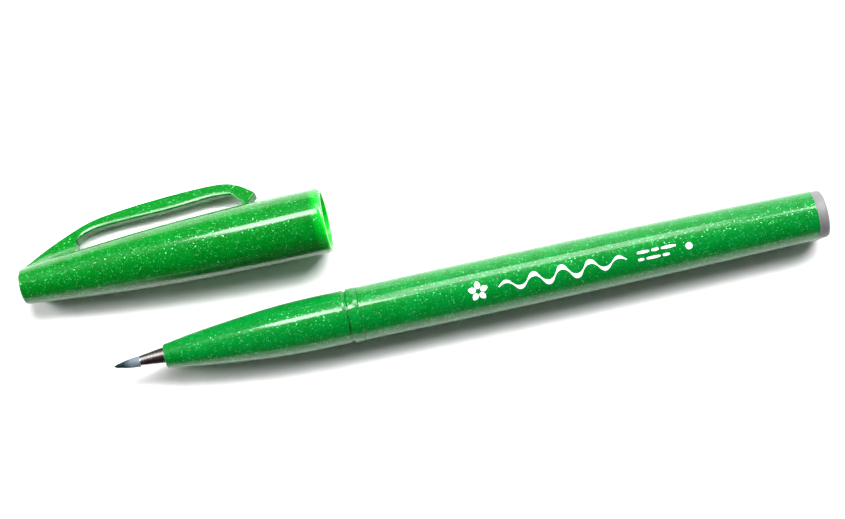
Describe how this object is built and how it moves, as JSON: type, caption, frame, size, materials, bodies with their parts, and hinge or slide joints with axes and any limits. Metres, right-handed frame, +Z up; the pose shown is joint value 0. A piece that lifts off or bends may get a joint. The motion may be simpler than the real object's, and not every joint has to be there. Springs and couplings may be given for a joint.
{
  "type": "brush pen",
  "caption": "Slim brush pen lying open, with a tapered grip, a metal cone and a soft pointed nib; its ogive cap with a looped clip lies behind it.",
  "frame": {"origin": "centre of the bounding box of pen and cap as they lie, on the surface they lie on", "axes": "+X along the pen from nib to tail, +Y from the pen towards the cap, +Z up"},
  "size_m": [0.1396, 0.033, 0.0121],
  "materials": {
    "green_plastic": "glossy moulded plastic full of fine silver and gold flecks",
    "grey_plastic": "matt moulded plastic",
    "polished_metal": "polished plated cone",
    "nib_felt": "soft translucent nib, dark with ink at its point",
    "white_plastic": "plain moulded plastic",
    "ink_fibre": "bonded fibre soaked with green ink",
    "clear_film": "thin clear film",
    "liner_plastic": "translucent green plastic"
  },
  "bodies": {
    "pen": {"ferrule": "polished_metal", "nib_sleeve": "white_plastic", "front_section": "green_plastic", "barrel": "green_plastic", "tail_plug": "grey_plastic", "ink_reservoir": "ink_fibre", "reservoir_film": "clear_film"},
    "nib": {"brush_nib": "nib_felt"},
    "cap": {"cap_shell": "green_plastic", "inner_cap": "liner_plastic"},
    "clip": {"clip": "green_plastic"}
  },
  "joints": [
    {"name": "cap_slide", "type": "slide", "parent": "pen", "child": "cap", "axis": [-1, 0, 0], "range_m": [-0.00245, 0.0435]},
    {"name": "clip_flex", "type": "hinge", "parent": "cap", "child": "clip", "pos_m": [-0.06017, 0.01295, 0.00157], "axis": [-0.0354, 0.3843, 0.9225], "range_deg": [0, 4], "stiffness_Nm_per_rad": 1.2},
    {"name": "nib_flex", "type": "hinge", "parent": "pen", "child": "nib", "pos_m": [-0.05192, -0.01161, 0.00485], "axis": [0, 1, 0], "range_deg": [-12, 12], "stiffness_Nm_per_rad": 0.002, "deforming": ["brush_nib"]}
  ]
}
